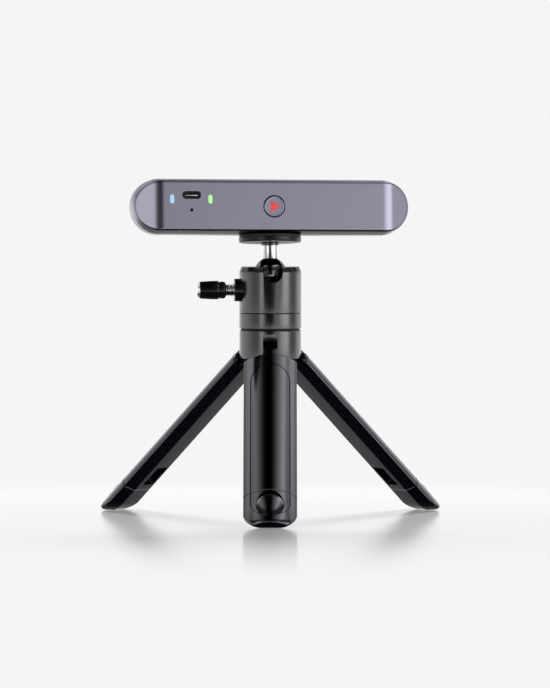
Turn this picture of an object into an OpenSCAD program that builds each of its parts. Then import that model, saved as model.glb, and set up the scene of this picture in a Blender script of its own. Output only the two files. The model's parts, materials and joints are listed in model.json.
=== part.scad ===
// Bar-shaped 3D scanner on a folding mini tripod with a ball head.
// The origin is on the floor under the tripod's axis, +Z is up, and the
// scanner's rear face, with its controls, looks along -Y.

/* [Scanner] */
// Length of the scanner from end to end
scanner_l = 190.6; // [180:0.2:200]
// Height of the scanner at its widest section
scanner_h = 37.6; // [36:0.2:40]
// Depth of the scanner from rear face to front glass
scanner_d = 25.4; // [25:0.1:27]
// Wall thickness of the rear shell
shell_t = 1.8; // [1.6:0.1:2.2]
// How far the rear edge is drafted in from the widest section
rear_draft = 2; // [1.5:0.1:2.4]
// Half length of the flat rear face, up to where its bends begin
flat_half_l = 75.1; // [72:0.1:76]
// Angle of the two end faces behind the bends
end_slope = 26; // [20:1:28]
// Radius of the two bends
bend_r = 17; // [14:1:18]

/* [Ball head] */
// Height of the ball's centre above the floor
ball_z = 164; // [163:0.5:166]
// Diameter of the ball
ball_d = 22.3; // [21.5:0.1:22.5]
// Diameter of the polished stem
stem_d = 11; // [10:0.1:11.2]
// Outer diameter of the housing and the ring below it
head_d = 42.2; // [41:0.1:43]
// Diameter of the round top plate
plate_d = 42.4; // [38:0.1:44]
// Width of the slot that lets the stem tip over
notch_w = 12.9; // [12:0.1:13.2]

/* [Tripod] */
// Angle between a leg and the vertical when the tripod stands
splay = 45.3; // [45.3:0.1:45.3]
// Outer diameter of the hub that the legs fold from
hub_d = 41.9; // [41:0.1:43]
// Distance from the tripod's axis to a leg's hinge pin
hinge_r = 15.75; // [15.75:0.05:15.75]
// Height of the hinge pins above the floor
hinge_z = 112.4; // [112.4:0.1:112.4]
// Width of a leg's hinge tongue
tongue_w = 9; // [8:0.1:9.1]
// Where the foot starts, measured down from the top of the leg
seam_s = 122; // [118:0.5:124]

/* [Pose] */
// How far the head is turned on the tripod
head_yaw = 5.8; // [-30:0.1:30]
// How far the stem leans, negative is away from the controls
stem_lean = -4.7; // [-20:0.1:20]
// How far the scanner is turned, seen from above
scanner_yaw = 12; // [-30:0.1:30]

/* [Hidden] */
$fn = 64;
EPS = 0.01;
BIG = 400;

// Scanner, in its own frame: centre at the middle of its box, rear face at -Y.
rear_y = -scanner_d / 2;
front_y = scanner_d / 2;
wide_y = 0;               // the draft ends and the walls run straight from here
part_y = 7.4;             // the shell ends and the front frame starts
front_draft = 2.6;        // how far the front frame is drafted in
front_draft_y = 9;
socket_y = 2.5;           // the tripod socket's axis
nut_flange_d = 9.6;
nut_d = 9;
nut_l = 7.5;
panel_t = 1.2;
panel_inset = 3.1;
gasket_t = 0.5;
board_y = -5.6;
board_t = 1.6;
frame_plate_y = 2.2;
frame_plate_t = 1.8;
fin_d = 4.2;
sensor_x = 72;            // the two depth cameras
color_x = -38;            // the colour camera
projector_x = 30;         // the pattern projector
lamp_x = [-52, 52];       // the fill lights
lens_front_y = 11.3;

// Controls on the rear face: [x, z] from the middle of that face.
blue_at = [-70.1, 4.3];
green_at = [-43.9, 4.3];
usb_at = [-56.7, 7];
reset_at = [-56.8, -3];
button_at = [0, -0.3];
light_w = 3.1;
light_h = 6.3;
usb_open_w = 12.8;
usb_open_h = 4.9;
usb_shell_w = 8.94;
usb_shell_h = 3.2;
usb_shell_l = 7;
pinhole_r = 1.1;
button_d = 13.9;
button_hole_d = 15.2;
button_travel = 0.6;
button_t = 2.4;
play_left = -2.4;
play_tip = 3.7;
play_half_h = 3.6;

// Ball head, heights above the floor.
housing_top = 168.8;
housing_bottom = 137.5;
housing_chamfer = [1.5, 3.6];
cavity_gap = 0.35;        // between the ball and the housing
seat_gap = 0.25;          // between the ball and its seat
seat_r = 11.2;
seat_top = 157.5;
seat_bottom = 146.5;
cavity_bottom = 145.5;
notch_bottom = 158.2;
knob_z = 152.9;
boss_d = 15.4;
boss_x = [-19.5, -24.6];
screw_d = 8.4;
screw_pitch = 1.9;
screw_tip_x = -11.7;
knob_x = [-30.4, -34.6, -48];
cap_x = -49.9;
ring_bottom = 126.9;
hub_top = 126;
hub_bottom = 105.8;
pivot_r = 6;              // shoulder that the housing turns on
pivot_head_r = 9;
ledge_top = 141;
bolt_r = 3.1;

// Stem and plate, measured along the stem from the ball's centre.
collar_w = [18.9, 21];
plate_w = [21, 24.4];
pad_top_w = 26;
stud_top_w = 31.5;
stud_r = 3.1;

// Leg, in its own frame: U points out of the leg's back, S runs down the leg
// from its top cut, and W runs across it.
leg_drop = 7.4;           // the top cut is this far below the hinge pin
leg_back_u = 20.4;        // crown of the leg's curved back
leg_back_r = 24;
leg_inner_u = 6.3;        // flat inner face
leg_gap = 0.31;           // from the side face to the 60 degree line
leg_half_w = 18.1;
leg_wall = 2.2;
leg_length = 165;
line_half_w = 13.4;       // the pill-shaped line on the leg's back
line_s = [8.1, 144.5];
line_w = 0.6;
line_depth = 0.4;
pocket_s = [100.5, 117.5];
pocket_half_w = 8;
latch_s = 134;
latch_d = 18.3;
latch_ring_d = 19.3;
latch_dome = 2;
latch_floor_u = 12.5;     // bottom of the button's well in the foot
latch_travel = 1.2;
slider_top_s = 34;
slide_travel = 60;
nose_r = 5;
knuckle_r = 4.2;
pin_r = 1.5;
pin_half_l = 11;
slot_w = 9.7;
slot_top = 119.6;
slot_inner_r = 10.8;

LEG_NAMES = ["front", "right", "left"];
LEG_TURNS = [-90, 30, 150];

// ---------------------------------------------------------------- placing

// The tripod's axis, turned with the head.
module in_head() {
    rotate([0, 0, head_yaw]) children();
}

// The ball's centre, with +Z up the stem.
module in_ball() {
    in_head() translate([0, 0, ball_z]) rotate([stem_lean, 0, 0]) children();
}

// The middle of the scanner.
module in_scanner() {
    in_ball() rotate([0, 0, scanner_yaw - head_yaw])
        translate([0, -socket_y, pad_top_w + scanner_h / 2]) children();
}

// A point of the rear face, with +Z into the scanner.
module on_rear(at, depth = 0) {
    translate([at[0], rear_y + depth, at[1]]) rotate([-90, 0, 0]) children();
}

// The knob's axis, with +Z from the knob to the ball and 0 on the tripod's axis.
module on_knob_axis() {
    in_head() translate([0, 0, knob_z]) rotate([0, 90, 0]) children();
}

// Leg frame of leg i: X is U, Y is W, and the leg runs down along -Z from 0.
module in_leg(i) {
    rotate([0, 0, LEG_TURNS[i]]) translate([hinge_r, 0, hinge_z]) rotate([0, -splay, 0])
        translate([-hinge_r, 0, -leg_drop]) children();
}

// ---------------------------------------------------------------- scanner shapes

// A bar with round ends whose height runs from h1 at y1 to h2 at y2.
module bar(h1, h2, y1, y2, inset = 0) {
    half = (scanner_l - scanner_h) / 2;
    a = h1 - 2 * inset;
    b = h2 - 2 * inset;
    for (side = [-1, 1])
        translate([side * half, y1, 0]) rotate([-90, 0, 0])
            cylinder(r1 = a / 2, r2 = b / 2, h = y2 - y1);
    translate([-half, 0, 0]) rotate([90, 0, 90]) linear_extrude(2 * half)
        polygon([[y1, -a / 2], [y2, -b / 2], [y2, b / 2], [y1, a / 2]]);
}

// A flat stadium plate, of length l and height h, from y1 to y2.
module pill_plate(l, h, y1, y2) {
    translate([0, y2, 0]) rotate([90, 0, 0]) linear_extrude(y2 - y1) {
        square([l - h, h], center = true);
        for (side = [-1, 1])
            translate([side * (l - h) / 2, 0]) circle(d = h);
    }
}

// Everything in front of the rear face, its two bends and its two end faces.
module behind_rear_face(inset = 0) {
    r = bend_r - inset;
    y0 = rear_y + bend_r;
    x_end = scanner_l;
    arc = [for (a = [0 : 2 : end_slope]) [flat_half_l + r * sin(a), y0 - r * cos(a)]];
    last = arc[len(arc) - 1];
    y_end = last[1] + (x_end - last[0]) * tan(end_slope);
    right = concat(arc, [[x_end, y_end], [x_end, BIG]]);
    left = [for (i = [len(right) - 1 : -1 : 0]) [-right[i][0], right[i][1]]];
    translate([0, 0, -scanner_h]) linear_extrude(2 * scanner_h) polygon(concat(right, left));
}

// A pill-shaped cutter or plug through the rear wall, wide along X or Z.
module rear_pill(at, w, h, depth, l) {
    long = max(w, h);
    short = min(w, h);
    turn = w > h ? 0 : 90;
    on_rear(at, depth) rotate([0, 0, turn]) linear_extrude(l) {
        square([long - short, short], center = true);
        for (side = [-1, 1])
            translate([side * (long - short) / 2, 0]) circle(d = short);
    }
}

module shell_body(inset) {
    rear = scanner_h - 2 * rear_draft;
    intersection() {
        union() {
            bar(rear, scanner_h, rear_y, wide_y, inset);
            bar(scanner_h, scanner_h, wide_y - EPS, part_y + (inset > 0 ? 1 : 0), inset);
        }
        behind_rear_face(inset);
    }
}

module rear_shell() {
    color("#8c8b99") in_scanner() difference() {
        shell_body(0);
        shell_body(shell_t);
        rear_pill(blue_at, light_w + 0.1, light_h + 0.1, -1, shell_t + 2);
        rear_pill(green_at, light_w + 0.1, light_h + 0.1, -1, shell_t + 2);
        rear_pill(usb_at, usb_open_w, usb_open_h, -1, shell_t + 2);
        on_rear(reset_at, -1) cylinder(r = pinhole_r, h = shell_t + 2);
        on_rear(button_at, -1) cylinder(d = button_hole_d, h = shell_t + 2);
        translate([0, socket_y, -scanner_h / 2 - 1]) cylinder(d = nut_flange_d + 0.1, h = shell_t + 2);
    }
}

module front_frame() {
    face_h = scanner_h - 2 * front_draft;
    panel_l = scanner_l - 2 * (front_draft + panel_inset - 1.6);
    panel_h = scanner_h - 2 * (front_draft + panel_inset - 1.6);
    color("#7d7c89") in_scanner() difference() {
        union() {
            bar(scanner_h, scanner_h, part_y + gasket_t, front_draft_y);
            bar(scanner_h, face_h, front_draft_y - EPS, front_y);
        }
        pill_plate(panel_l, panel_h, front_y - panel_t - 0.1, front_y + 1);
        pill_plate(panel_l - 5, panel_h - 5, 0, front_y + 1);
    }
}

module front_panel() {
    panel_l = scanner_l - 2 * (front_draft + panel_inset - 1.5);
    panel_h = scanner_h - 2 * (front_draft + panel_inset - 1.5);
    y1 = front_y - panel_t;
    color("#101014") in_scanner() difference() {
        pill_plate(panel_l, panel_h, y1, front_y - 0.1);
        for (x = [-sensor_x, sensor_x])
            translate([x, y1 - 1, 0]) rotate([-90, 0, 0]) cylinder(d = 15, h = 4);
        translate([color_x, y1 - 1, 0]) rotate([-90, 0, 0]) cylinder(d = 11, h = 4);
        translate([projector_x, y1 - 1, 0]) rotate([-90, 0, 0]) cylinder(d = 13, h = 4);
        for (x = lamp_x)
            translate([x, y1 - 1, 0]) rotate([-90, 0, 0]) cylinder(d = 8, h = 4);
    }
}

module shell_gasket() {
    color("#1a1a1c") in_scanner() difference() {
        bar(scanner_h, scanner_h, part_y, part_y + gasket_t, 0.6);
        translate([0, 1, 0]) bar(scanner_h, scanner_h, part_y - 3, part_y + gasket_t, shell_t);
    }
}

// Aluminium plate that carries the sensors and sheds the board's heat.
module mid_frame() {
    l = scanner_l - 2 * shell_t - 1.6;
    h = scanner_h - 2 * shell_t - 1.6;
    y2 = frame_plate_y + frame_plate_t;
    color("#9c9ca4") in_scanner() difference() {
        union() {
            difference() {
                pill_plate(l, h, frame_plate_y, y2);
                pill_plate(22, 16, frame_plate_y - 1, y2 + 1);
            }
            for (x = [-60 : 6 : 60])
                if (abs(x) > 16)
                    translate([x - 0.6, frame_plate_y - fin_d + EPS, -11]) cube([1.2, fin_d, 22]);
        }
        for (x = [-86, 86])
            translate([x, frame_plate_y - 1, 0]) rotate([-90, 0, 0]) cylinder(d = 2.2, h = 5);
        for (x = [-28, 28], z = [-13.5, 13.5])
            translate([x, frame_plate_y - 1, z]) rotate([-90, 0, 0]) cylinder(d = 2.2, h = 5);
        translate([0, socket_y, -20]) cylinder(d = nut_flange_d + 0.8, h = 9);
    }
}

module case_screws() {
    y_head = frame_plate_y + frame_plate_t;
    places = concat([[-86, 0], [86, 0]], [for (x = [-28, 28], z = [-13.5, 13.5]) [x, z]]);
    color("#5a5a60") in_scanner() for (at = places)
        translate([at[0], y_head, at[1]]) rotate([90, 0, 0]) {
            cylinder(r = 1, h = frame_plate_t + 1.5);
            translate([0, 0, -1.2]) difference() {
                cylinder(r = 1.9, h = 1.2);
                translate([0, 0, -EPS]) cylinder(r = 0.8, h = 0.6, $fn = 6);
            }
        }
}

module main_board() {
    color("#1f5a3c") in_scanner() difference() {
        pill_plate(160, 25, board_y, board_y + board_t);
        translate([0, board_y - 1, -1]) rotate([-90, 0, 0]) cylinder(r = 1.6, h = 4);
    }
}

// A camera module: square body with a round barrel.
module camera_body(x, size, barrel_d) {
    y0 = frame_plate_y + frame_plate_t;
    in_scanner() translate([x, 0, 0]) {
        translate([-size / 2, y0, -size / 2]) cube([size, 3.4, size]);
        translate([0, y0 + 3.3, 0]) rotate([-90, 0, 0]) difference() {
            cylinder(d = barrel_d, h = lens_front_y - y0 - 3.3);
            translate([0, 0, 1.5]) cylinder(d = barrel_d - 2.4, h = 5);
        }
    }
}

// A lens that fills a barrel, with a domed front.
module lens_disc(x, d) {
    dome = 0.7;
    r = (d * d / 4 + dome * dome) / (2 * dome);
    y0 = frame_plate_y + frame_plate_t + 3.3 + 1.5;
    in_scanner() translate([x, y0, 0]) rotate([-90, 0, 0]) {
        cylinder(d = d, h = 1.2);
        intersection() {
            translate([0, 0, 1.1 + dome - r]) sphere(r = r, $fn = 96);
            cylinder(d = d, h = 3);
        }
    }
}

module left_camera() { color("#202024") camera_body(-sensor_x, 16, 13.6); }
module right_camera() { color("#202024") camera_body(sensor_x, 16, 13.6); }
module color_camera() { color("#202024") camera_body(color_x, 12, 9.8); }
module projector() { color("#2a2a30") camera_body(projector_x, 15, 11.8); }
module left_lens() { color("#3a2050") lens_disc(-sensor_x, 11); }
module right_lens() { color("#3a2050") lens_disc(sensor_x, 11); }
module color_lens() { color("#203050") lens_disc(color_x, 7.2); }
module projector_lens() { color("#502030") lens_disc(projector_x, 9.2); }

// Two small boards, each with one flat lamp.
module fill_lights() {
    y0 = frame_plate_y + frame_plate_t;
    color("#e8e4c8") in_scanner() for (x = lamp_x) translate([x, y0, 0]) {
        translate([-5, 0, -6]) cube([10, 1, 12]);
        translate([0, 0.9, 0]) rotate([-90, 0, 0]) cylinder(d = 6.8, h = lens_front_y - y0 - 0.9);
    }
}

module usb_port() {
    mouth = 1.1;
    color("#9a9aa2") in_scanner() {
        difference() {
            rear_pill(usb_at, usb_shell_w, usb_shell_h, mouth, usb_shell_l - mouth);
            rear_pill(usb_at, usb_shell_w - 0.6, usb_shell_h - 0.6, mouth - 1, usb_shell_l - mouth);
        }
        translate([usb_at[0] - 3.3, rear_y + mouth + 0.6, usb_at[1] - 0.35])
            cube([6.6, usb_shell_l - mouth - 0.7, 0.7]);
    }
}

module blue_light() {
    color("#bedcff") in_scanner() rear_pill(blue_at, light_w, light_h, 0, 4);
}

module green_light() {
    color("#c8ffb4") in_scanner() rear_pill(green_at, light_w, light_h, 0, 4);
}

module play_outline(grow = 0) {
    polygon([[play_left - grow, -play_half_h - grow], [play_tip + 2 * grow, 0],
             [play_left - grow, play_half_h + grow]]);
}

// Round button: a disc in the rear wall's hole, and a wider flange behind it.
module power_button() {
    color("#8f8e9c") in_scanner() difference() {
        union() {
            on_rear(button_at) cylinder(d = button_d, h = button_t);
            on_rear(button_at, shell_t + 0.15) cylinder(d = button_d + 3.2, h = 0.7);
        }
        on_rear(button_at, -1) linear_extrude(1.8) play_outline();
    }
}

module play_mark() {
    color("#ff5f64") in_scanner() on_rear(button_at, 0.15) linear_extrude(0.65) play_outline(-0.04);
}

module power_switch() {
    gap = button_travel + 0.2;
    y_top = shell_t + 0.85 + gap;
    y_board = board_y - rear_y;
    color("#26262a") in_scanner() {
        on_rear(button_at, y_top) cylinder(d = 3.4, h = 1.2);
        on_rear(button_at, y_top + 1.1) translate([-3.1, -3.1, 0]) cube([6.2, 6.2, y_board - y_top - 1.1]);
    }
}

// Small push switch behind the pinhole.
module reset_button() {
    color("#2c2c30") in_scanner() on_rear(reset_at, shell_t + 0.6) cylinder(r = 1.4, h = 2.2);
}

module reset_switch() {
    y_top = shell_t + 1.5;
    y_board = board_y - rear_y;
    color("#3c3c42") in_scanner() on_rear(reset_at, y_top) difference() {
        translate([-2.4, -2.4, 0]) cube([4.8, 4.8, y_board - y_top]);
        translate([0, 0, -1]) cylinder(r = 1.5, h = 4);
    }
}

// Threaded insert in the shell's underside that takes the tripod's stud.
module tripod_nut() {
    color("#b08d4a") in_scanner() translate([0, socket_y, -scanner_h / 2]) difference() {
        union() {
            cylinder(d = nut_flange_d, h = shell_t);
            cylinder(d = nut_d, h = nut_l);
        }
        translate([0, 0, -1]) cylinder(r = stud_r + 0.08, h = nut_l);
    }
}

// ---------------------------------------------------------------- head

module top_plate() {
    r = plate_d / 2;
    color("#1b1b1f") in_ball() rotate_extrude() polygon([
        [stem_d / 2 + 0.05, plate_w[0]], [r - 1, plate_w[0]], [r - 0.3, plate_w[0] + 0.3],
        [r, plate_w[0] + 1], [r, plate_w[1]], [stem_d / 2 + 0.05, plate_w[1]]]);
}

module mount_pad() {
    color("#0c0c0e") in_ball() translate([0, 0, plate_w[1]]) difference() {
        cylinder(d = plate_d - 0.8, h = pad_top_w - plate_w[1] - 0.05);
        translate([0, 0, -1]) cylinder(r = 4.2, h = 5);
        for (r = [8, 11.5, 15])
            translate([0, 0, pad_top_w - plate_w[1] - 0.5]) difference() {
                cylinder(r = r + 0.5, h = 2);
                translate([0, 0, -1]) cylinder(r = r - 0.5, h = 4);
            }
    }
}

// Screw that stands out of the plate and holds the scanner.
module mount_stud() {
    color("#8a8a90") in_ball() translate([0, 0, plate_w[1]])
        cylinder(r = stud_r, h = stud_top_w - plate_w[1]);
}

module ball_stem() {
    color("#d8d8dc") in_ball() {
        sphere(d = ball_d, $fn = 96);
        cylinder(d = stem_d, h = plate_w[1]);
    }
}

module stem_collar() {
    color("#26262a") in_ball() translate([0, 0, collar_w[0]]) difference() {
        cylinder(d = stem_d + 0.8, h = collar_w[1] - collar_w[0]);
        translate([0, 0, -1]) cylinder(d = stem_d + 0.1, h = 4);
    }
}

module head_housing() {
    r = head_d / 2;
    cavity_r = ball_d / 2 + cavity_gap;
    notch_r = notch_w / 2;
    color("#1d1d21") in_head() difference() {
        rotate_extrude() polygon([
            [0, housing_bottom], [r, housing_bottom], [r, housing_top - housing_chamfer[1]],
            [r - housing_chamfer[0], housing_top], [0, housing_top]]);
        translate([0, 0, ball_z]) sphere(r = cavity_r, $fn = 96);
        translate([0, 0, cavity_bottom]) cylinder(r = cavity_r, h = ball_z - cavity_bottom);
        translate([0, 0, ledge_top]) cylinder(r = pivot_head_r + 0.3, h = 10);
        translate([0, 0, housing_bottom - 1]) cylinder(r = pivot_r + 0.08, h = 20);
        translate([0, 0, notch_bottom + notch_r]) {
            rotate([90, 0, 0]) cylinder(r = notch_r, h = BIG);
            translate([-notch_r, -BIG, 0]) cube([notch_w, BIG, 20]);
        }
        translate([0, 0, knob_z]) rotate([0, -90, 0]) {
            cylinder(d = screw_d + 0.16, h = 30);
            translate([0, 0, -boss_x[0]]) cylinder(d = boss_d + 0.06, h = 10);
        }
    }
}

// Cup under the ball. The lock screw's cone lifts it by its tapered foot.
module ball_seat() {
    color("#cfcfc8") in_head() difference() {
        rotate_extrude() polygon([
            [0, seat_bottom], [7.4, seat_bottom], [seat_r, seat_bottom + 4],
            [seat_r, seat_top], [0, seat_top]]);
        translate([0, 0, ball_z]) sphere(r = ball_d / 2 + seat_gap, $fn = 96);
    }
}

module knob_boss() {
    l = boss_x[0] - boss_x[1];
    color("#141417") on_knob_axis() translate([0, 0, boss_x[1]]) difference() {
        cylinder(d = boss_d, h = l);
        translate([0, 0, -1]) cylinder(d = screw_d + 0.16, h = l + 2);
    }
}

// Screw with rounded thread crests, one turned ring for each pitch, and a cone tip.
module lock_screw() {
    r = screw_d / 2;
    tip = 2.4;
    count = floor((boss_x[1] - 0.3 - knob_x[0]) / screw_pitch);
    color("#b9b9bf") on_knob_axis() {
        translate([0, 0, knob_x[0] - 6]) cylinder(r = r - 0.5, h = boss_x[1] - knob_x[0] + 6);
        translate([0, 0, boss_x[1] - 0.3]) cylinder(r = r, h = screw_tip_x - tip - boss_x[1] + 0.3);
        translate([0, 0, screw_tip_x - tip - EPS]) cylinder(r1 = r, r2 = 1.6, h = tip);
        for (i = [0 : count - 1])
            translate([0, 0, knob_x[0] + 0.5 + i * screw_pitch]) {
                cylinder(r1 = r - 0.5, r2 = r, h = 0.6);
                translate([0, 0, 0.6 - EPS]) cylinder(r1 = r, r2 = r - 0.5, h = 0.6);
            }
    }
}

module lock_knob() {
    grip_r = 6.3;
    end_r = 5.75;
    neck_r = 5.75;
    color("#131316") on_knob_axis() difference() {
        rotate_extrude() polygon([
            [0, knob_x[0]], [neck_r - 1, knob_x[0]], [neck_r, knob_x[0] - 1],
            [neck_r, knob_x[1]], [neck_r - 0.25, knob_x[1]], [neck_r - 0.25, knob_x[1] - 0.4],
            [grip_r - 0.3, knob_x[1] - 0.4], [grip_r, knob_x[1] - 1.2],
            [grip_r, knob_x[1] - 5], [end_r, knob_x[2]], [0, knob_x[2]]]);
        translate([0, 0, knob_x[0] - 6.1]) cylinder(r = screw_d / 2 - 0.45, h = 8);
        translate([0, 0, knob_x[2] - 1]) cylinder(r = 2.6, h = 4);
    }
}

module knob_cap() {
    color("#c9c9cf") on_knob_axis() {
        translate([0, 0, cap_x]) cylinder(r1 = 4.2, r2 = 5.4, h = 1);
        translate([0, 0, cap_x + 1 - EPS]) cylinder(r = 5.4, h = knob_x[2] - cap_x - 1);
        translate([0, 0, knob_x[2] - EPS]) cylinder(r = 2.5, h = 2.9);
    }
}

module pan_ring() {
    r = head_d / 2;
    top = housing_bottom - 0.25;
    color("#1d1d21") difference() {
        rotate_extrude() polygon([
            [0, ring_bottom], [r - 0.4, ring_bottom], [r, ring_bottom + 0.4],
            [r, top - 0.3], [r - 0.3, top], [0, top]]);
        translate([0, 0, ring_bottom - 1]) cylinder(r = bolt_r + 0.05, h = 8.4);
        translate([0, 0, 134.2]) cylinder(r = 4, h = 10);
    }
}

// Shouldered screw that the housing turns on.
module pan_screw() {
    top = housing_bottom - 0.25;
    color("#8a8a90") difference() {
        union() {
            translate([0, 0, 134.4]) cylinder(r = 3.95, h = 4);
            translate([0, 0, top]) cylinder(r = pivot_r, h = ledge_top + 0.15 - top);
            translate([0, 0, ledge_top + 0.15]) cylinder(r = pivot_head_r, h = 3);
        }
        translate([0, 0, ledge_top + 1.4]) cylinder(r = 3, h = 4, $fn = 6);
    }
}

module gap_washer() {
    color("#08080a") translate([0, 0, hub_top]) difference() {
        cylinder(r = 19.9, h = ring_bottom - hub_top);
        translate([0, 0, -1]) cylinder(r = bolt_r + 0.1, h = 4);
    }
}

module head_bolt() {
    color("#8a8a90") difference() {
        union() {
            translate([0, 0, hub_bottom + 0.6]) cylinder(r = 5.2, h = 3.9);
            translate([0, 0, hub_bottom + 4.5]) cylinder(r = bolt_r, h = 28 - 4.5);
        }
        translate([0, 0, hub_bottom]) cylinder(r = 2.6, h = 3.2, $fn = 6);
    }
}

// ---------------------------------------------------------------- tripod

// Hub with three slots for the legs' tongues and a blind pin bore across each.
module leg_base() {
    r = hub_d / 2;
    foot_chamfer = 1.5;
    color("#1d1d21") difference() {
        rotate_extrude() polygon([
            [0, hub_bottom], [r - foot_chamfer, hub_bottom], [r, hub_bottom + foot_chamfer],
            [r, hub_top - 1], [r - 0.3, hub_top - 0.3], [r - 1, hub_top], [0, hub_top]]);
        for (turn = LEG_TURNS) rotate([0, 0, turn]) {
            translate([slot_inner_r, -slot_w / 2, hub_bottom - 1])
                cube([20, slot_w, slot_top - hub_bottom + 1]);
            translate([hinge_r, -pin_half_l - 0.2, hinge_z]) rotate([-90, 0, 0])
                cylinder(r = pin_r + 0.03, h = 2 * pin_half_l + 0.4);
        }
        translate([0, 0, hub_bottom - 1]) cylinder(r = bolt_r + 0.05, h = 30);
        translate([0, 0, hub_bottom - 1]) cylinder(r = 5.4, h = 5.5);
    }
}

module hinge_pins() {
    color("#a8a8ae") for (turn = LEG_TURNS) rotate([0, 0, turn])
        translate([hinge_r, -pin_half_l, hinge_z]) rotate([-90, 0, 0])
            cylinder(r = pin_r, h = 2 * pin_half_l);
}

// Cross-section of a leg, in U and W, pulled in by an inset.
module leg_section(inset = 0) {
    u = leg_inner_u + inset;
    gap = leg_gap + inset;
    far = leg_back_u;
    w1 = u * tan(60) - 2 * gap;
    w2 = far * tan(60) - 2 * gap;
    half = leg_half_w - inset;
    intersection() {
        translate([leg_back_u - leg_back_r, 0]) circle(r = leg_back_r - inset, $fn = 180);
        polygon([[u, -w1], [far, -w2], [far, w2], [u, w1]]);
        translate([0, -half]) square([far, 2 * half]);
    }
}

// The space under a plane at height z over the floor, in the leg's own frame.
module over_floor() {
    translate([hinge_r, 0, leg_drop]) rotate([0, splay, 0])
        translate([-hinge_r, 0, -hinge_z]) children();
}

// The foot's end: a flat on the floor, a rounded nose and a sole that rises inwards.
module foot_envelope() {
    nose_x = 124.4;
    flat_x = 120.5;
    rise = 19;
    inner_x = 98;
    up = 40;
    crown_r = 34;
    crown_drop = 0.7;
    over_floor() intersection() {
        union() {
            translate([nose_x, 0, nose_r]) rotate([90, 0, 0])
                cylinder(r = nose_r, h = 60, center = true);
            rotate([90, 0, 0]) linear_extrude(60, center = true) polygon([
                [flat_x, 0], [nose_x, 0], [nose_x + nose_r * cos(45), nose_r * (1 + sin(45))],
                [nose_x + nose_r * cos(45) - up, nose_r * (1 + sin(45)) + up],
                [inner_x - up, (flat_x - inner_x) * tan(rise) + up],
                [inner_x, (flat_x - inner_x) * tan(rise)]]);
        }
        translate([0, 0, crown_r - crown_drop]) rotate([0, 90, 0])
            cylinder(r = crown_r, h = 250, $fn = 180);
    }
}

// The pill-shaped line that is sunk into the leg's back and runs on over the foot.
module back_line() {
    module pill(grow) {
        r = line_half_w + grow;
        for (s = [line_s[0] + line_half_w, line_s[1] - line_half_w])
            translate([s, 0]) circle(r = r);
        translate([line_s[0] + line_half_w, -r])
            square([line_s[1] - line_s[0] - 2 * line_half_w, 2 * r]);
    }
    intersection() {
        rotate([0, 90, 0]) linear_extrude(40) difference() {
            pill(0);
            pill(-line_w);
        }
        translate([leg_back_u - leg_back_r, 0, -leg_length]) difference() {
            cylinder(r = leg_back_r + 1, h = leg_length, $fn = 180);
            translate([0, 0, -1]) cylinder(r = leg_back_r - line_depth, h = leg_length + 2, $fn = 180);
        }
    }
}

// Upper leg: a hollow section with a hinge tongue at its top.
module leg(i) {
    color("#17171b") in_leg(i) difference() {
        union() {
            translate([0, 0, -seam_s]) linear_extrude(seam_s) leg_section();
            translate([hinge_r, 0, leg_drop]) rotate([90, 0, 0])
                cylinder(r = knuckle_r, h = tongue_w, center = true);
            translate([hinge_r - knuckle_r, -tongue_w / 2, -1])
                cube([2 * knuckle_r, tongue_w, leg_drop + 1]);
        }
        translate([0, 0, -seam_s - 1]) linear_extrude(seam_s - 8) leg_section(leg_wall);
        translate([hinge_r, 0, leg_drop]) rotate([90, 0, 0])
            cylinder(r = pin_r + 0.06, h = 20, center = true);
        translate([0, -pocket_half_w, -pocket_s[1]])
            cube([leg_inner_u + leg_wall + 1, 2 * pocket_half_w, pocket_s[1] - pocket_s[0]]);
        back_line();
    }
}

// The round well in the foot that the push button sits in.
module latch_well() {
    translate([latch_floor_u, 0, -latch_s]) rotate([0, 90, 0]) cylinder(d = latch_ring_d, h = 20);
}

// Lower leg: a channel that slides inside the upper leg.
module slider(i) {
    color("#2b2b30") in_leg(i) difference() {
        translate([0, 0, -seam_s - 6]) linear_extrude(seam_s - slider_top_s + 6)
            leg_section(leg_wall + 0.35);
        translate([0, 0, -seam_s - 7]) linear_extrude(seam_s - slider_top_s + 8)
            leg_section(leg_wall + 2);
        latch_well();
    }
}

module foot(i) {
    color("#17171b") in_leg(i) difference() {
        intersection() {
            translate([0, 0, -leg_length]) linear_extrude(leg_length - seam_s - 0.25) leg_section();
            foot_envelope();
        }
        translate([0, 0, -seam_s - 6.2]) linear_extrude(10) difference() {
            leg_section(leg_wall + 0.3);
            leg_section(leg_wall + 2.1);
        }
        back_line();
        latch_well();
    }
}

// Round push button that frees the lower leg.
module latch(i) {
    dome_r = (latch_d * latch_d / 4 + latch_dome * latch_dome) / (2 * latch_dome);
    top = leg_back_u + 0.1;
    color("#101013") in_leg(i) translate([0, 0, -latch_s]) rotate([0, 90, 0]) intersection() {
        translate([0, 0, latch_floor_u + latch_travel + 0.3]) cylinder(d = latch_d, h = 20);
        translate([0, 0, top - dome_r]) sphere(r = dome_r, $fn = 128);
    }
}

rear_shell();
front_frame();
front_panel();
shell_gasket();
mid_frame();
case_screws();
main_board();
left_camera();
right_camera();
color_camera();
projector();
left_lens();
right_lens();
color_lens();
projector_lens();
fill_lights();
usb_port();
blue_light();
green_light();
power_button();
play_mark();
power_switch();
reset_button();
reset_switch();
tripod_nut();
top_plate();
mount_pad();
mount_stud();
ball_stem();
stem_collar();
head_housing();
ball_seat();
knob_boss();
lock_screw();
lock_knob();
knob_cap();
pan_ring();
pan_screw();
gap_washer();
head_bolt();
leg_base();
hinge_pins();
for (i = [0 : 2]) {
    leg(i);
    slider(i);
    foot(i);
    latch(i);
}
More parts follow.
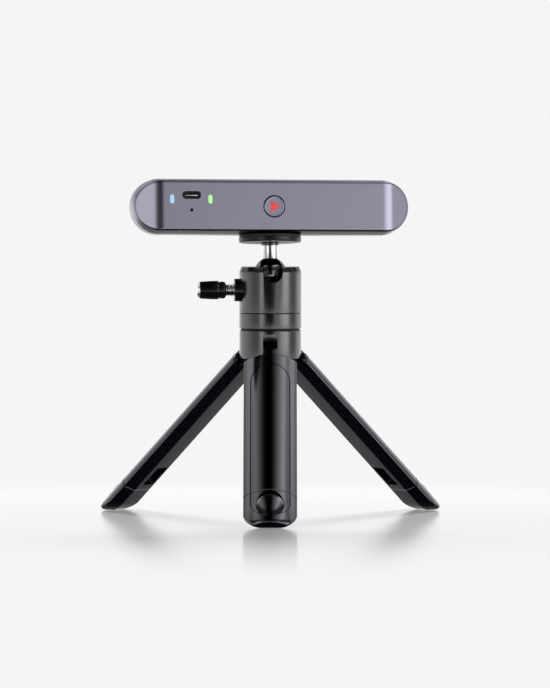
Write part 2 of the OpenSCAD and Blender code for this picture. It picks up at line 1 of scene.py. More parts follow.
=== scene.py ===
"""Bar-shaped 3D scanner on a mini tripod: the looks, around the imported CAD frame."""
import bpy, bmesh, json
from math import acos, asin, atan2, cos, hypot, pi, radians, sin, sqrt, tan
from mathutils import Matrix, Vector


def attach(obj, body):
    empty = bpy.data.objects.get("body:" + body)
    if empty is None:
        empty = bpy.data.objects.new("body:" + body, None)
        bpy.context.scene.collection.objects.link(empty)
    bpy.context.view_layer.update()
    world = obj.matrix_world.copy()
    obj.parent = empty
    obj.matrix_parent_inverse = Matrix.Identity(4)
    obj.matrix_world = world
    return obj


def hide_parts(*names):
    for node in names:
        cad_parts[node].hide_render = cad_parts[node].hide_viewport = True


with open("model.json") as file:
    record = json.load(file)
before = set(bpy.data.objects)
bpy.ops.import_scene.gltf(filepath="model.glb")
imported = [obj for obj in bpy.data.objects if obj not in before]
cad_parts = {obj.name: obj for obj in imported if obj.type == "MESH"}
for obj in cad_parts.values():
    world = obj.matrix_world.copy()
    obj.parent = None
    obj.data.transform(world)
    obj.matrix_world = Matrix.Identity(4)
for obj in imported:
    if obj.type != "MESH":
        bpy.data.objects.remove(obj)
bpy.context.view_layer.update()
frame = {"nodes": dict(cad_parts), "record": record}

MM = 0.001

# ---------------------------------------------------------------- dimensions (mm)
SCANNER_L, SCANNER_H, SCANNER_D = 190.6, 37.6, 25.4
REAR_DRAFT, FRONT_DRAFT = 2.0, 2.6
FLAT_HALF, BEND_R, END_SLOPE = 75.1, 17.0, radians(26)
WALL = 1.8
REAR_Y, FRONT_Y = -SCANNER_D / 2, SCANNER_D / 2
PART_Y, GASKET_T, FRONT_DRAFT_Y = 7.4, 0.5, 9.0
SOCKET_Y = 2.5
BALL_Z, BALL_D, STEM_D = 164.0, 22.3, 11.0
HEAD_YAW, STEM_LEAN, SCANNER_YAW = radians(5.8), radians(-4.7), radians(12)
HEAD_R, HUB_R, PLATE_R = 21.1, 20.95, 21.2
KNOB_Z = 152.9
PAD_TOP = 26.0
HINGE_R, HINGE_Z, SPLAY, LEG_DROP = 15.75, 112.4, radians(45.3), 7.4
SEAM_S, LEG_END = 122.0, 165.0
LEGS = {"front": -90, "right": 30, "left": 150}

# ---------------------------------------------------------------- placing
HEAD = Matrix.Rotation(HEAD_YAW, 4, "Z")
BALL = HEAD @ Matrix.Translation((0, 0, BALL_Z)) @ Matrix.Rotation(STEM_LEAN, 4, "X")
SCANNER = (BALL @ Matrix.Rotation(SCANNER_YAW - HEAD_YAW, 4, "Z")
           @ Matrix.Translation((0, -SOCKET_Y, PAD_TOP + SCANNER_H / 2)))
KNOB = HEAD @ Matrix.Translation((0, 0, KNOB_Z)) @ Matrix.Rotation(pi / 2, 4, "Y")
BASE = Matrix.Identity(4)


def leg_place(name):
    """Leg frame: X out of the leg's back, Y across it, and the leg runs down -Z."""
    return (Matrix.Rotation(radians(LEGS[name]), 4, "Z") @ Matrix.Translation((HINGE_R, 0, HINGE_Z))
            @ Matrix.Rotation(-SPLAY, 4, "Y") @ Matrix.Translation((-HINGE_R, 0, -LEG_DROP)))


# ---------------------------------------------------------------- materials
def material(name, color, metallic=0.0, roughness=0.4, **sockets):
    m = bpy.data.materials.new(name)
    m.use_nodes = True
    shader = m.node_tree.nodes["Principled BSDF"]
    shader.inputs["Base Color"].default_value = (*color, 1)
    shader.inputs["Metallic"].default_value = metallic
    shader.inputs["Roughness"].default_value = roughness
    for key, value in sockets.items():
        shader.inputs[key.replace("_", " ")].default_value = value
    return m


def add_grain(m, scale, bump=0.05, distance=0.00005, rough=(0.0, 0.0), tint=0.0, stretch=(1, 1, 1)):
    """Fine noise in the surface: bump, a roughness range, and a slight change of colour."""
    nodes, links = m.node_tree.nodes, m.node_tree.links
    shader = nodes["Principled BSDF"]
    coords = nodes.new("ShaderNodeTexCoord")
    mapping = nodes.new("ShaderNodeMapping")
    mapping.inputs["Scale"].default_value = stretch
    links.new(coords.outputs["Object"], mapping.inputs["Vector"])
    fine = nodes.new("ShaderNodeTexNoise")
    fine.inputs["Scale"].default_value = scale
    fine.inputs["Detail"].default_value = 4
    links.new(mapping.outputs["Vector"], fine.inputs["Vector"])
    bumps = nodes.new("ShaderNodeBump")
    bumps.inputs["Strength"].default_value = bump
    bumps.inputs["Distance"].default_value = distance
    links.new(fine.outputs["Fac"], bumps.inputs["Height"])
    links.new(bumps.outputs["Normal"], shader.inputs["Normal"])
    if rough[1] > rough[0]:
        broad = nodes.new("ShaderNodeTexNoise")
        broad.inputs["Scale"].default_value = scale / 12
        broad.inputs["Detail"].default_value = 3
        links.new(mapping.outputs["Vector"], broad.inputs["Vector"])
        spread = nodes.new("ShaderNodeMapRange")
        spread.inputs["To Min"].default_value = rough[0]
        spread.inputs["To Max"].default_value = rough[1]
        links.new(broad.outputs["Fac"], spread.inputs["Value"])
        links.new(spread.outputs["Result"], shader.inputs["Roughness"])
    if tint > 0:
        base = shader.inputs["Base Color"].default_value[:3]
        ramp = nodes.new("ShaderNodeValToRGB")
        ramp.color_ramp.elements[0].position = 0.35
        ramp.color_ramp.elements[1].position = 0.65
        ramp.color_ramp.elements[0].color = (*[c * (1 - tint) for c in base], 1)
        ramp.color_ramp.elements[1].color = (*[min(1, c * (1 + tint)) for c in base], 1)
        links.new(fine.outputs["Fac"], ramp.inputs["Fac"])
        links.new(ramp.outputs["Color"], shader.inputs["Base Color"])
    return m


SCANNER_GREY = (0.25, 0.246, 0.305)
BLACK = (0.004, 0.004, 0.007)
GLOSSY_IOR = 1.85

# Each finish: its shader's settings, then its grain (scale, bump, depth, roughness range, tint, stretch).
M = {}
M["scanner_metal"] = add_grain(
    material("scanner_metal", SCANNER_GREY, 0.95, 0.24),
    9000, 0.03, 0.00002, (0.22, 0.27), 0.05)
M["frame_metal"] = add_grain(
    material("frame_metal", SCANNER_GREY, 0.95, 0.25),
    9000, 0.03, 0.00002, (0.22, 0.28), 0.05)
M["panel_black"] = add_grain(
    material("panel_black", (0.008, 0.008, 0.010), 0, 0.06, IOR=1.55),
    300, 0.01, 0.00002, (0.05, 0.09))
M["gasket"] = add_grain(
    material("gasket", (0.015, 0.015, 0.016), 0, 0.7),
    4000, 0.2, 0.00003, (0.6, 0.8))
M["bare_aluminium"] = add_grain(
    material("bare_aluminium", (0.62, 0.62, 0.64), 1, 0.3),
    3000, 0.15, 0.00003, (0.25, 0.38), 0.04, (1, 1, 12))
M["steel"] = add_grain(
    material("steel", (0.56, 0.56, 0.58), 1, 0.24),
    4000, 0.1, 0.00002, (0.18, 0.32), 0.04)
M["circuit_board"] = add_grain(
    material("circuit_board", (0.02, 0.13, 0.06), 0, 0.35),
    1500, 0.3, 0.0001, (0.3, 0.5), 0.3)
M["camera_housing"] = add_grain(
    material("camera_housing", (0.02, 0.02, 0.022), 0, 0.5),
    3500, 0.2, 0.00003, (0.42, 0.6))
M["lens_glass"] = add_grain(
    material("lens_glass", (0.020, 0.010, 0.045), 0, 0.04, IOR=1.9,
             Coat_Weight=1.0, Coat_Tint=(0.55, 0.35, 1, 1)),
    50, 0.0, 0.00001, (0.03, 0.05))
M["lamp_yellow"] = add_grain(
    material("lamp_yellow", (0.85, 0.76, 0.40), 0, 0.45),
    2500, 0.3, 0.00005, (0.4, 0.6), 0.1)
M["switch_black"] = add_grain(
    material("switch_black", (0.03, 0.03, 0.03), 0, 0.5),
    3000, 0.2, 0.00003, (0.45, 0.6))
M["blue_light"] = add_grain(
    material("blue_light", (0.04, 0.06, 0.10), 0, 0.35,
             Emission_Color=(0.46, 0.68, 0.98, 1), Emission_Strength=0.95),
    2500, 0.05, 0.00002, (0.3, 0.4))
M["green_light"] = add_grain(
    material("green_light", (0.05, 0.10, 0.04), 0, 0.35,
             Emission_Color=(0.50, 0.98, 0.38, 1), Emission_Strength=0.95),
    2500, 0.05, 0.00002, (0.3, 0.4))
# The play mark's glow is painted light; the mark is no lamp.
M["play_red"] = add_grain(
    material("play_red", (0.90, 0.07, 0.08), 0, 0.35,
             Emission_Color=(1, 0.10, 0.11, 1), Emission_Strength=0.45),
    3000, 0.08, 0.00002, (0.3, 0.42), 0.05)
M["brass"] = add_grain(
    material("brass", (0.72, 0.52, 0.24), 1, 0.28),
    3000, 0.1, 0.00002, (0.22, 0.35), 0.05)
M["tripod_black"] = add_grain(
    material("tripod_black", BLACK, 0, 0.12, IOR=GLOSSY_IOR, Specular_Tint=(0.92, 0.92, 1, 1)),
    700, 0.002, 0.00001, (0.11, 0.13))
M["head_black"] = add_grain(
    material("head_black", BLACK, 0, 0.16, IOR=GLOSSY_IOR),
    900, 0.004, 0.00001, (0.14, 0.18))
# A less glossy copy of head_black for the top plate only: painted shade, standing for the scanner's shade
# over the plate.
M["plate_black_shaded"] = add_grain(
    material("plate_black_shaded", BLACK, 0, 0.3, IOR=1.4),
    2600, 0.02, 0.00001, (0.26, 0.34))
M["pad_rubber"] = add_grain(
    material("pad_rubber", (0.010, 0.010, 0.011), 0, 0.62),
    5000, 0.3, 0.00004, (0.55, 0.7))
M["chrome"] = add_grain(
    material("chrome", (0.86, 0.86, 0.88), 1, 0.05),
    800, 0.01, 0.00001, (0.035, 0.07))
M["ball_steel"] = add_grain(
    material("ball_steel", (0.15, 0.15, 0.16), 1, 0.07),
    900, 0.01, 0.00001, (0.05, 0.09))
M["nylon"] = add_grain(
    material("nylon", (0.62, 0.62, 0.58), 0, 0.45),
    2500, 0.1, 0.00003, (0.4, 0.55), 0.03)
M["knob_rubber"] = add_grain(
    material("knob_rubber", (0.006, 0.006, 0.007), 0, 0.2, IOR=1.5),
    2500, 0.01, 0.00001, (0.18, 0.22))


# ---------------------------------------------------------------- mesh tools
def finish_mesh(bm, name, place, body, slot, replaces=(), smooth=35.0, mat=None):
    """A new piece from bm, whose points are in mm in the frame that place gives."""
    me = bpy.data.meshes.new(name)
    bmesh.ops.recalc_face_normals(bm, faces=bm.faces)
    bm.to_mesh(me)
    bm.free()
    me.transform(Matrix.Scale(MM, 4) @ place)
    me.shade_smooth()
    me.set_sharp_from_angle(angle=radians(smooth))
    me.materials.append(mat or M[slot])
    o = bpy.data.objects.new(name, me)
    bpy.context.scene.collection.objects.link(o)
    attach(o, body)
    if replaces:
        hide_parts(*replaces)


def temp(bm):
    """bm as a loose object, for a boolean."""
    me = bpy.data.meshes.new("temp")
    bmesh.ops.recalc_face_normals(bm, faces=bm.faces)
    bm.to_mesh(me)
    bm.free()
    o = bpy.data.objects.new("temp", me)
    bpy.context.scene.collection.objects.link(o)
    return o


def modified(bm, cutters=(), bevel=0.0, segments=3, angle=35.0):
    """bm with the cutters taken out of it and then a bevel of its sharp edges, as a new bmesh."""
    o = temp(bm)
    others = [temp(c) for c in cutters]
    for other in others:
        cut = o.modifiers.new("cut", "BOOLEAN")
        cut.object = other
        cut.operation = "DIFFERENCE"
        cut.solver = "EXACT"
    if cutters and bevel:
        weld = o.modifiers.new("weld", "WELD")
        weld.merge_threshold = 0.004
    if bevel:
        mod = o.modifiers.new("bevel", "BEVEL")
        mod.width = bevel
        mod.segments = segments
        mod.limit_method = "ANGLE"
        mod.angle_limit = radians(angle)
        mod.use_clamp_overlap = True
    made = o.evaluated_get(bpy.context.evaluated_depsgraph_get()).to_mesh()
    out = bmesh.new()
    out.from_mesh(made)
    for thing in [o, *others]:
        bpy.data.objects.remove(thing)
    return out


def join_rings(bm, rings, closed=False):
    """Quads between neighbouring rings of points; closed also joins the last ring to the first."""
    following = rings[1:] + rings[:1] if closed else rings[1:]
    for a, b in zip(rings, following):
        n = len(a)
        for k in range(n):
            bm.faces.new((a[k], a[(k + 1) % n], b[(k + 1) % n], b[k]))


def join_columns(bm, columns):
    """Quads between neighbouring columns of points, right round."""
    for a, b in zip(columns, columns[1:] + columns[:1]):
        for k in range(len(a) - 1):
            bm.faces.new((a[k], b[k], b[k + 1], a[k + 1]))


def curve(a, p, b, steps):
    """Points on the smooth curve from a to b that p pulls towards itself."""
    return [a * (1 - f) ** 2 + p * 2 * f * (1 - f) + b * f * f for f in [k / steps for k in range(steps + 1)]]


def lathe(profile, steps=128, closed=False):
    """A profile of (radius, height) turned about Z; its ends on the axis close it."""
    bm = bmesh.new()
    rings = []
    for r, z in profile:
        if r < 1e-6:
            rings.append([bm.verts.new((0, 0, z))])
        else:
            rings.append([bm.verts.new((r * cos(2 * pi * k / steps), r * sin(2 * pi * k / steps), z))
                          for k in range(steps)])
    pairs = list(zip(rings, rings[1:]))
    if closed:
        pairs.append((rings[-1], rings[0]))
    for a, b in pairs:
        for k in range(steps):
            n = (k + 1) % steps
            if len(a) == 1 and len(b) > 1:
                bm.faces.new((a[0], b[k], b[n]))
            elif len(b) == 1 and len(a) > 1:
                bm.faces.new((a[k], a[n], b[0]))
            elif len(a) > 1:
                bm.faces.new((a[k], a[n], b[n], b[k]))
    return bm


def rounded(points, radius, steps=5, closed=False):
    """points with each inner corner replaced by an arc-like curve; radius may be a list."""
    out = []
    n = len(points)
    radii = radius if isinstance(radius, (list, tuple)) else [radius] * n
    for i, p in enumerate(points):
        if (not closed and i in (0, n - 1)) or radii[i] <= 0:
            out.append(tuple(p))
            continue
        a, b = Vector(points[i - 1]), Vector(points[(i + 1) % n])
        c = Vector(p)
        t = min(radii[i], (a - c).length * 0.49, (b - c).length * 0.49)
        start = c + (a - c).normalized() * t
        end = c + (b - c).normalized() * t
        out += [tuple(point) for point in curve(start, c, end, steps)]
    return out


def extruded(outline, low, high, axes="XY"):
    """A closed outline of points in two axes, extruded from low to high along the third."""
    bm = bmesh.new()
    spare = ({"X", "Y", "Z"} - set(axes)).pop()

    def point(p, h):
        at = dict(zip(axes, p))
        at[spare] = h
        return (at["X"], at["Y"], at["Z"])
    rings = [[bm.verts.new(point(p, height)) for p in outline] for height in (low, high)]
    join_rings(bm, rings)
    bm.faces.new(rings[0])
    bm.faces.new(rings[-1])
    return bm


def pill(length, height, steps=24, at=(0, 0)):
    """A stadium outline, long along its first axis, centred on at."""
    r = height / 2
    half = length / 2 - r
    pts = [(half + r * cos(a), r * sin(a)) for a in [pi * (k / steps - 0.5) for k in range(steps + 1)]]
    pts += [(-half - r * cos(a), -r * sin(a)) for a in [pi * (k / steps - 0.5) for k in range(steps + 1)]]
    return [(x + at[0], y + at[1]) for x, y in pts]


SLOTS = {s["node"]: s["material_slot"] for s in frame["record"]["subparts"]}
for name, o in frame["nodes"].items():
    o.data.materials.clear()
    o.data.materials.append(M[SLOTS[name]])


# ---------------------------------------------------------------- scanner shell
def face_y(x, inset=0.0):
    """The rear face, its bends and its end faces: y at x."""
    r = BEND_R - inset
    a = abs(x) - FLAT_HALF
    if a <= 0:
        return REAR_Y + inset
    if a < r * sin(END_SLOPE):
        return REAR_Y + BEND_R - sqrt(r * r - a * a)
    return REAR_Y + BEND_R - r * cos(END_SLOPE) + (a - r * sin(END_SLOPE)) * tan(END_SLOPE)


def bar_columns():
    """Around the stadium: (x of the centre line, direction x, direction z)."""
    half = (SCANNER_L - SCANNER_H) / 2
    n_flat, n_cap = 56, 56
    xs = [half * sin(pi / 2 * (2 * k / n_flat - 1)) for k in range(n_flat + 1)]
    turns = [pi * (k + 1) / n_cap for k in range(n_cap - 1)]
    cols = [(x, 0.0, 1.0) for x in xs]
    cols += [(half, sin(a), cos(a)) for a in turns]
    cols += [(x, 0.0, -1.0) for x in reversed(xs)]
    cols += [(-half, -sin(a), -cos(a)) for a in turns]
    return cols


def column_verts(bm, col, points):
    """Vertices for one column's points (inset, y)."""
    cx, dx, dz = col
    line = []
    for i, y in points:
        reach = SCANNER_H / 2 - i
        line.append(bm.verts.new((cx + dx * reach, y, dz * reach)))
    return line


def rear_column(col, inset=0.0, fillet=1.7):
    """Points (inset, y) down one column: wall, draft, edge fillet, then along the face to the middle."""
    cx, dx, _ = col
    half_h = SCANNER_H / 2
    slope = REAR_DRAFT / (0 - REAR_Y)

    def wall(y):
        return inset + (slope * (0 - y) if y < 0 else 0.0)

    def face(i):
        return face_y(cx + dx * (half_h - i), inset)

    # Where the drafted wall meets the face.
    y = REAR_Y + inset
    i = wall(y)
    for _ in range(12):
        y = face(i)
        i = wall(y)
    corner = Vector((i, y))
    up = Vector((wall(y + 1) - i, 1.0)).normalized()
    inner = Vector((1.0, face(i + 1) - y)).normalized()
    half_angle = 0.5 * acos(max(-1, min(1, up.dot(inner))))
    t = fillet / tan(half_angle) if half_angle > 0.01 else fillet
    start = corner + up * t
    end = corner + inner * t

    lowest = -2.5 if start.y < -3.0 else -1.0
    pts = [(wall(level), level) for level in (PART_Y, 4.0, 0.4, -1.0, lowest)]
    centre = corner + (up + inner).normalized() * (fillet / sin(half_angle))
    a0 = start - centre
    a1 = end - centre
    total = a0.angle(a1)
    side = 1.0 if a0.x * a1.y - a0.y * a1.x > 0 else -1.0
    for k in range(9):
        a = side * total * k / 8
        v = Vector((a0.x * cos(a) - a0.y * sin(a), a0.x * sin(a) + a0.y * cos(a)))
        pts.append(tuple(centre + v))
    i_end = pts[-1][0]
    for k in range(1, 18):
        i = i_end + (half_h - i_end) * k / 17
        pts.append((i, face(min(i, half_h - 1e-4))))
    return pts


def upright(outline, width, height):
    """A pill outline as it is, or turned to stand upright where the hole is taller than wide."""
    return [(y, x) for x, y in outline] if height > width else outline


def slot_cut(at, w, h):
    outline = upright(pill(max(w, h), min(w, h)), w, h)
    return extruded([(x + at[0], z + at[1]) for x, z in outline], REAR_Y - 2, REAR_Y + 4, "XZ")


def funnel_cut(at, w, h, depth):
    """A bevelled mouth: a pill frustum that widens outwards."""
    bm = bmesh.new()
    rings = []
    for y, grow in ((REAR_Y - depth, 4 * depth), (REAR_Y + depth, 0.0)):
        outline = upright(pill(max(w, h) + grow, min(w, h) + grow), w, h)
        rings.append([bm.verts.new((x + at[0], y, z + at[1])) for x, z in outline])
    join_rings(bm, rings)
    bm.faces.new(rings[0])
    bm.faces.new(rings[1])
    return bm


def rear_shell():
    """Hollow casing with holes for the lights, the socket, the reset pin, the button and the thread."""
    cols = bar_columns()
    bm = bmesh.new()
    outer = [column_verts(bm, col, rear_column(col)) for col in cols]
    join_columns(bm, outer)
    inner = [column_verts(bm, col, rear_column(col, WALL, 0.8)) for col in cols]
    join_columns(bm, inner)
    n = len(cols)
    for k in range(n):
        m = (k + 1) % n
        bm.faces.new((outer[k][0], inner[k][0], inner[m][0], outer[m][0]))
    bmesh.ops.remove_doubles(bm, verts=bm.verts, dist=0.0005)
    bmesh.ops.dissolve_degenerate(bm, dist=0.0005, edges=bm.edges)
    light_hole = (LIGHT_W + 0.06, LIGHT_H + 0.06)
    usb_hole = (12.6, 4.7)
    cutters = [slot_cut(BLUE, *light_hole), slot_cut(GREEN, *light_hole), slot_cut(USB, *usb_hole),
               funnel_cut(USB, *usb_hole, 0.3), disc_cut(RESET, 1.15), disc_cut(BUTTON, BUTTON_HOLE_R),
               cone_cut(BUTTON, BUTTON_HOLE_R, 0.2), thread_cut()]
    finish_mesh(modified(bm, cutters), "rear_shell_fine", SCANNER, "scanner", "scanner_metal",
                ("rear_shell",), 25)


# Places (x, z) on the rear face.
BLUE, GREEN, USB = (-70.1, 4.3), (-43.9, 4.3), (-56.7, 7.0)
RESET, BUTTON = (-56.8, -3.0), (0.0, -0.3)
LIGHT_W, LIGHT_H = 2.8, 6.1
BUTTON_R, BUTTON_HOLE_R = 7.1, 7.45


def on_rear(bm, at, depth=0.0):
    """Turns a lathe about Z into one about Y on the rear face, with its top at the depth given."""
    bm.transform(Matrix.Translation((at[0], REAR_Y + depth, at[1])) @ Matrix.Rotation(-pi / 2, 4, "X"))
    return bm


def disc_cut(at, r):
    return on_rear(lathe([(0, -2), (r, -2), (r, 4), (0, 4)], 64), at)


def cone_cut(at, r, depth):
    return on_rear(lathe([(0, -depth), (r + 2 * depth, -depth), (r, depth), (0, depth)], 96), at)


def thread_cut():
    """The hole for the tripod nut, in the underside."""
    bm = lathe([(0, -2), (4.85, -2), (4.85, 4), (0, 4)], 64)
    bm.transform(Matrix.Translation((0, SOCKET_Y, -SCANNER_H / 2)))
    return bm


def front_frame():
    """The front ring: straight, then drawn in to the glass with a soft outer edge."""
    back = PART_Y + GASKET_T
    lip = FRONT_DRAFT + 1.5
    steps = 10
    path = [(2.0, back), (0.35, back), (0, back + 0.35), (0, FRONT_DRAFT_Y)]
    for k in range(1, steps + 1):
        a = pi / 2 * k / steps
        path.append((FRONT_DRAFT * (1 - cos(a)) * 0.9, FRONT_DRAFT_Y + (FRONT_Y - FRONT_DRAFT_Y) * sin(a)))
    path += [(lip - 0.2, FRONT_Y), (lip, FRONT_Y - 0.2), (lip, FRONT_Y - 1.3), (lip + 2.5, FRONT_Y - 1.3),
             (lip + 2.5, back), (2.0, back)]
    bm = bmesh.new()
    join_columns(bm, [column_verts(bm, col, path) for col in bar_columns()])
    bmesh.ops.remove_doubles(bm, verts=bm.verts, dist=0.0005)
    finish_mesh(bm, "front_frame_fine", SCANNER, "scanner", "frame_metal", ("front_frame",), 40)


def play_shape(back, tip, half, near, far):
    """The play triangle with soft corners, between two depths from the rear face."""
    corners = rounded([(back, -half), (tip, 0), (back, half)], 0.5, 4, True)
    return extruded([(x + BUTTON[0], z + BUTTON[1]) for x, z in corners], REAR_Y + near, REAR_Y + far, "XZ")


def power_button():
    """Round button with a soft edge and a shallow dish, its play mark sunk in."""
    r = BUTTON_R
    top = rounded([(0, 0.12), (r - 1.6, 0.10), (r - 0.5, 0.0), (r, 0.35), (r, 2.4), (0, 2.4)], 0.35)
    recess = play_shape(-2.45, 4.45, 4.1, -1, 0.8)
    button = modified(on_rear(lathe(top, 96), BUTTON), [recess])
    finish_mesh(button, "power_button_fine", SCANNER, "button", "scanner_metal", ("power_button",), 30)
    mark = modified(play_shape(-2.38, 4.27, 3.95, 0.22, 0.8), bevel=0.12, segments=2)
    finish_mesh(mark, "play_mark_fine", SCANNER, "button", "play_red", ("play_mark",), 30)


def status_lights():
    """Two moulded light pipes, slightly domed and set in the shell."""
    for node, at in (("blue_light", BLUE), ("green_light", GREEN)):
        outline = [(z + at[0], x + at[1]) for x, z in pill(LIGHT_H, LIGHT_W)]
        body = modified(extruded(outline, REAR_Y + 0.02, REAR_Y + 1.7, "XZ"), bevel=0.35, segments=3)
        finish_mesh(body, node + "_fine", SCANNER, "scanner", node, (node,), 40)


def usb_ring(name, size, hole, front, back, hole_back, slot, replaces=()):
    """A pill-shaped collar or cup; the numbers are widths, heights and depths from the rear face."""
    outer = extruded(pill(*size, 24, USB), REAR_Y + front, REAR_Y + back, "XZ")
    inner = extruded(pill(*hole, 24, USB), REAR_Y + front - 1, REAR_Y + hole_back, "XZ")
    body = modified(outer, [inner], bevel=0.08, segments=2)
    finish_mesh(body, name, SCANNER, "scanner", slot, replaces, 35)


def usb_socket():
    """Black surround and a matt-black cup in place of the port's shell, both painted shade for the dark
    inside of the socket, and a light tongue.
    """
    # The surround's black is painted shade at the bottom of the recess.
    usb_ring("usb_surround", (12.55, 4.65), (9.0, 3.24), 1.0, 2.2, 9, "gasket")
    # The port's shell drawn in matt black: painted shade for its dark inside.
    usb_ring("usb_port_fine", (8.94, 3.2), (8.5, 2.8), 1.3, 7.0, 5.6, "switch_black", ("usb_port",))
    tongue = extruded(pill(8.3, 0.8, 12, (USB[0], USB[1] - 0.1)), REAR_Y + 1.2, REAR_Y + 5.8, "XZ")
    finish_mesh(modified(tongue, bevel=0.12, segments=2), "usb_tongue", SCANNER, "scanner", "steel", (), 35)


# ---------------------------------------------------------------- head
STEM_HOLE_R = 5.55


def top_plate():
    """Thin disc under the scanner, its lower edge softened; a less glossy copy of the head's black on it is
    painted shade from the scanner above.
    """
    low, high = 21, 24.4
    plate = rounded([(STEM_HOLE_R, low), (PLATE_R, low), (PLATE_R, high), (STEM_HOLE_R, high)],
                    [0, 1.0, 0.3, 0], 6)
    finish_mesh(lathe(plate, 160, True), "top_plate_fine", BALL, "ball", "head_black", ("top_plate",), 40,
                M["plate_black_shaded"])


def stem_collar():
    """Small ring under the plate."""
    r, low, high = 5.95, 18.9, 20.99
    collar = rounded([(STEM_HOLE_R, low), (r, low), (r, high), (STEM_HOLE_R, high)], [0, 0.2, 0.1, 0])
    finish_mesh(lathe(collar, 96, True), "stem_collar_fine", BALL, "ball", "head_black", ("stem_collar",), 40)


def ball_and_stem():
    """Dark polished ball with a chrome neck that runs up into the plate."""
    stem_r, ball_r = STEM_D / 2, BALL_D / 2
    stem_top = 24.3
    first = asin(stem_r / ball_r)
    arc = [(ball_r * sin(a), ball_r * cos(a)) for a in [first + (pi - first) * k / 60 for k in range(61)]]
    edge_r, edge_z = arc[0]
    neck = [(0, stem_top), (stem_r, stem_top), (stem_r, edge_z + 0.5), (stem_r + 0.1, edge_z + 0.15),
            (edge_r - 0.02, edge_z + 0.02), (0, edge_z - 1)]
    finish_mesh(lathe(neck, 128), "stem_fine", BALL, "ball", "chrome", (), 35)
    finish_mesh(lathe([(0, edge_z)] + arc, 128), "ball_stem_fine", BALL, "ball", "chrome", ("ball_stem",), 35,
                M["ball_steel"])


def head_housing():
    """Turned body with the ball's cavity, the neck slot and the knob's bore, its edges softened."""
    r = HEAD_R
    low, shoulder, top = 137.5, 165.2, 168.8
    shell = rounded([(0, low), (r, low), (r, shoulder), (r - 1.5, top), (0, top)], [0, 0.35, 0.9, 0.7, 0], 6)
    cavity_r, seat_r, bolt_r = 11.5, 9.3, 6.08
    cavity = [(0, 175.5)]
    quarter = [pi / 2 * k / 20 for k in range(1, 21)]
    cavity += [(cavity_r * sin(a), BALL_Z + cavity_r * cos(a)) for a in quarter]
    cavity += [(cavity_r, 145.5), (seat_r, 145.5), (seat_r, 141), (bolt_r, 141), (bolt_r, 136), (0, 136)]
    notch_r = 6.45
    centre = 158.2 + notch_r
    notch = [(notch_r * cos(a), centre + notch_r * sin(a)) for a in [pi + pi * k / 32 for k in range(33)]]
    notch += [(notch_r, 175), (-notch_r, 175)]
    boss_r = 7.73
    knob_bore = lathe([(0, -40), (boss_r, -40), (boss_r, BOSS_BACK), (BORE_R, BOSS_BACK), (BORE_R, 0),
                       (0, 0)], 96)
    knob_bore.transform(HEAD.inverted() @ KNOB)
    cutters = [lathe(cavity, 128), extruded(notch, -40, 0, "XZ"), knob_bore]
    housing = modified(lathe(shell, 192), cutters, bevel=0.28, segments=3, angle=38)
    finish_mesh(housing, "head_housing_fine", HEAD, "head", "head_black", ("head_housing",), 32)


def pan_ring():
    """The ring that the head turns on."""
    hole_r, low, high = 4.0, 126.9, 137.25
    ring = rounded([(hole_r, low), (HEAD_R, low), (HEAD_R, high), (hole_r, high)], [0, 0.5, 0.35, 0], 5)
    finish_mesh(lathe(ring, 192, True), "pan_ring_fine", BASE, "base", "head_black", ("pan_ring",), 40)


BORE_R, BOSS_FRONT, BOSS_BACK = 4.28, -24.6, -19.5
FLUTES = 24


def fluted(bm, depth, inner_r, low, high, shape):
    """Presses flutes in outside inner_r, between two heights; shape turns an angle into 0 to 1."""
    for v in bm.verts:
        if hypot(v.co.x, v.co.y) > inner_r and low < v.co.z < high:
            scale = 1 - depth * shape(atan2(v.co.y, v.co.x) * FLUTES)
            v.co.x *= scale
            v.co.y *= scale
    return bm


def knob_pieces():
    """Boss on the housing, the grip with a groove ring, and a bright knurled end cap."""
    boss = rounded([(BORE_R, BOSS_FRONT), (7.7, BOSS_FRONT), (7.7, BOSS_BACK), (BORE_R, BOSS_BACK)],
                   [0, 0.5, 0, 0], 5)
    finish_mesh(lathe(boss, 96, True), "knob_boss_fine", KNOB, "head", "knob_rubber", ("knob_boss",), 40)
    grip = rounded([(3.8, -30.4), (4.9, -30.4), (5.75, -31.3), (5.75, -34.5), (5.4, -34.6), (5.4, -35.0),
                    (6.1, -35.1), (6.3, -36.2), (6.3, -39.5), (5.75, -48), (3.8, -48)],
                   [0, 0.3, 0.5, 0.2, 0.1, 0.1, 0.3, 0.8, 2.5, 0.4, 0], 5)
    body = fluted(lathe(grip, 144, True), 0.003, 5.4, -47.6, -35.3, lambda a: max(0.0, cos(a)) ** 2)
    finish_mesh(body, "lock_knob_fine", KNOB, "knob", "knob_rubber", ("lock_knob",), 40)
    cap = rounded([(0, -49.9), (3.7, -49.9), (5.35, -48.3), (5.35, -48.0), (2.5, -48.0), (2.5, -45.2),
                   (0, -45.2)], [0, 0.3, 0.1, 0, 0, 0, 0], 5)
    end = fluted(lathe(cap, 96), 0.03, 3.5, -60, -48.25, lambda a: 0.5 + 0.5 * cos(a))
    finish_mesh(end, "knob_cap_fine", KNOB, "knob", "chrome", ("knob_cap",), 40)


